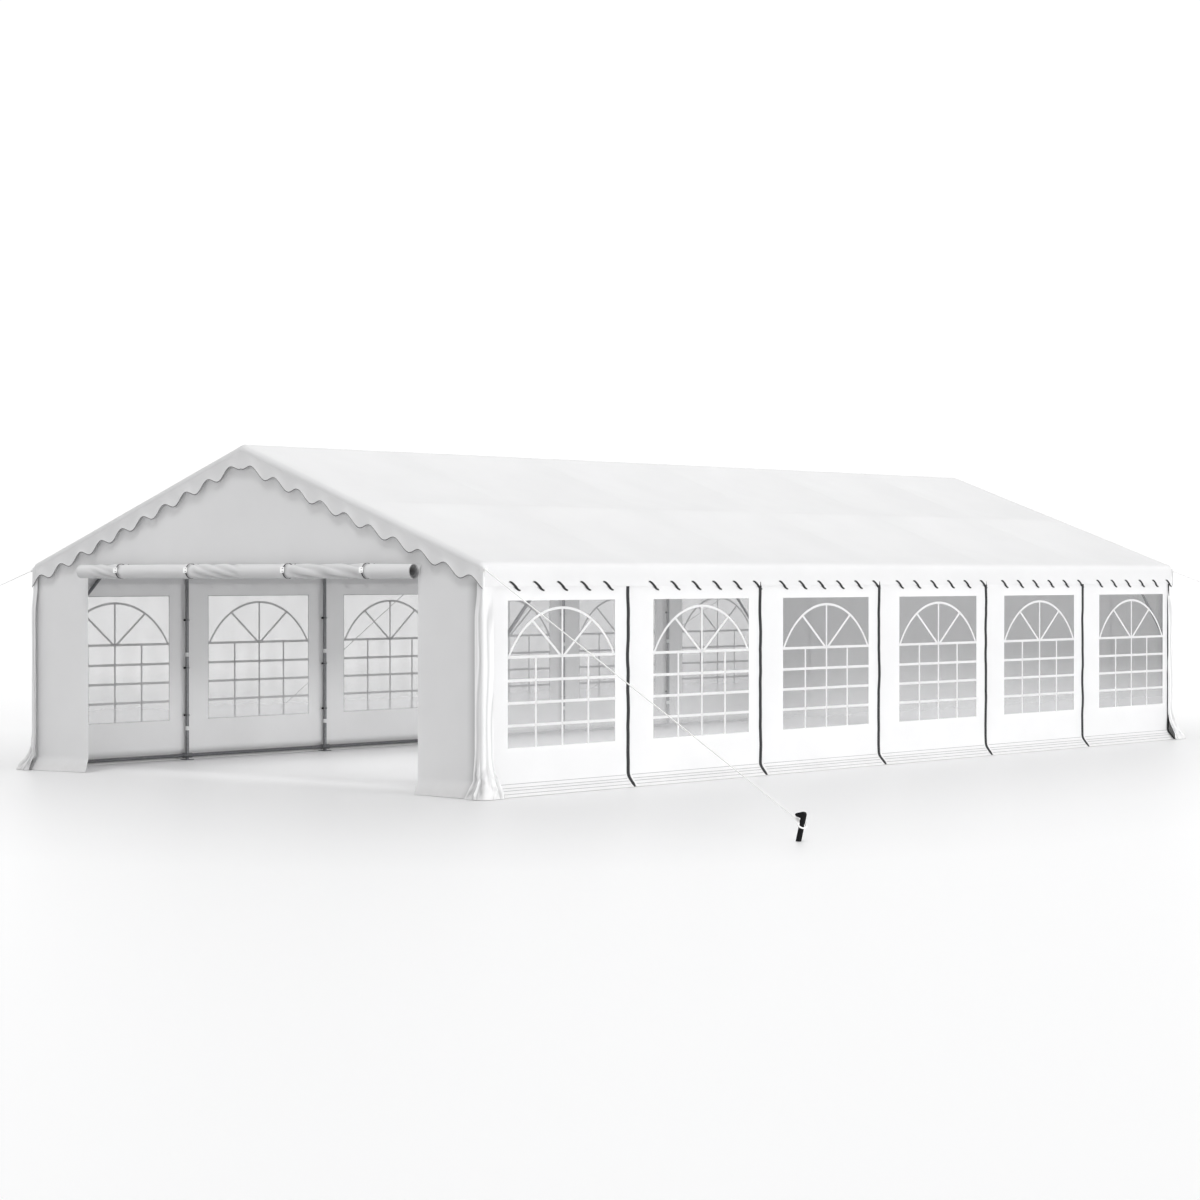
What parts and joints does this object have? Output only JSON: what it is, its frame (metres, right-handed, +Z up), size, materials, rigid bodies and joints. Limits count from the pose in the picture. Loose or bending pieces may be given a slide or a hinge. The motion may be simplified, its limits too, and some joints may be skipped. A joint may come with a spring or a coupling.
{
  "type": "marquee tent",
  "caption": "Long white marquee tent with a steel tube frame, arched window walls, a rolled-up front door, scalloped gables and guy ropes on ground pegs.",
  "frame": {"origin": "on the ground at the centre of the tent's plan", "axes": "+Z up, +Y from the open front gable to the rear, +X to the right seen from the front"},
  "size_m": [14.8756, 14.9432, 3.1199],
  "materials": {
    "white_cloth": "semi-gloss white coated cloth",
    "clear_film": "clear flexible film",
    "galvanised_steel": "grey galvanised steel tube",
    "white_rope": "white braided rope",
    "black_plastic": "black moulded plastic"
  },
  "bodies": {
    "root": {"eave_rail_left": "galvanised_steel", "eave_rail_right": "galvanised_steel", "front_corner_flap_left": "white_cloth", "front_corner_flap_right": "white_cloth", "front_door_roll": "white_cloth", "front_gable_cloth": "white_cloth", "front_side_cloth_left": "white_cloth", "front_side_cloth_right": "white_cloth", "front_valance": "white_cloth", "ground_rail_left": "galvanised_steel", "ground_rail_right": "galvanised_steel", "guy_rope_front_left": "white_rope", "guy_rope_front_right": "white_rope", "guy_rope_middle_left": "white_rope", "guy_rope_rear_left": "white_rope", "guy_rope_rear_right": "white_rope", "left_wall_1": "white_cloth", "left_wall_2": "white_cloth", "left_wall_3": "white_cloth", "left_wall_4": "white_cloth", "left_wall_5": "white_cloth", "left_wall_6": "white_cloth", "left_window_film": "clear_film", "peg_front_left": "black_plastic", "peg_front_right": "black_plastic", "peg_middle_left": "black_plastic", "peg_rear_left": "black_plastic", "peg_rear_right": "black_plastic", "portal_frame_1": "galvanised_steel", "portal_frame_2": "galvanised_steel", "portal_frame_3": "galvanised_steel", "portal_frame_4": "galvanised_steel", "portal_frame_5": "galvanised_steel", "portal_frame_6": "galvanised_steel", "portal_frame_7": "galvanised_steel", "purlin_left": "galvanised_steel", "purlin_right": "galvanised_steel", "rear_corner_flap_left": "white_cloth", "rear_corner_flap_right": "white_cloth", "rear_door_curtain": "white_cloth", "rear_gable_cloth": "white_cloth", "rear_side_cloth_left": "white_cloth", "rear_side_cloth_right": "white_cloth", "rear_valance": "white_cloth", "ridge_rail": "galvanised_steel", "right_wall_1": "white_cloth", "right_wall_2": "white_cloth", "right_wall_3": "white_cloth", "right_wall_4": "white_cloth", "right_wall_5": "white_cloth", "right_wall_6": "white_cloth", "right_window_film": "clear_film", "roof_left": "white_cloth", "roof_right": "white_cloth"}
  },
  "joints": []
}
